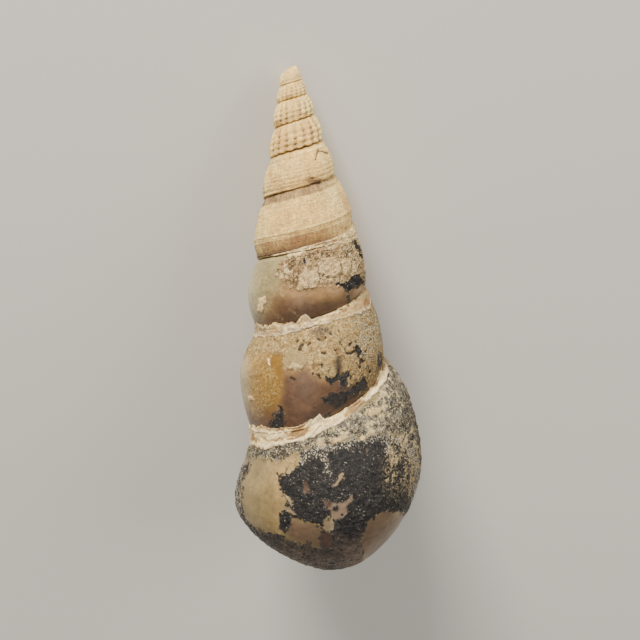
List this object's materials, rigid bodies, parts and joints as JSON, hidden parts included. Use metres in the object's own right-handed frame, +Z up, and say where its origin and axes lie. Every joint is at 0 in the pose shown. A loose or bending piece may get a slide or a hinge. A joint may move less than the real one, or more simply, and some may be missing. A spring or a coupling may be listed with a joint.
{
  "type": "fossil turret shell",
  "caption": "Slender right-handed spiral shell lying on its side: a ribbed tan spire above stone-filled lower whorls with ragged shell left in the sutures.",
  "frame": {"origin": "middle of the bounding box's underside, on the surface that the shell rests on", "axes": "+Y towards the apex, +Z up, out of the side that shows"},
  "size_m": [0.016, 0.0412, 0.0165],
  "materials": {
    "fossil_shell": "matte",
    "agate_cast": "satin"
  },
  "bodies": {
    "root": {"turret_shell": "fossil_shell"}
  },
  "joints": []
}
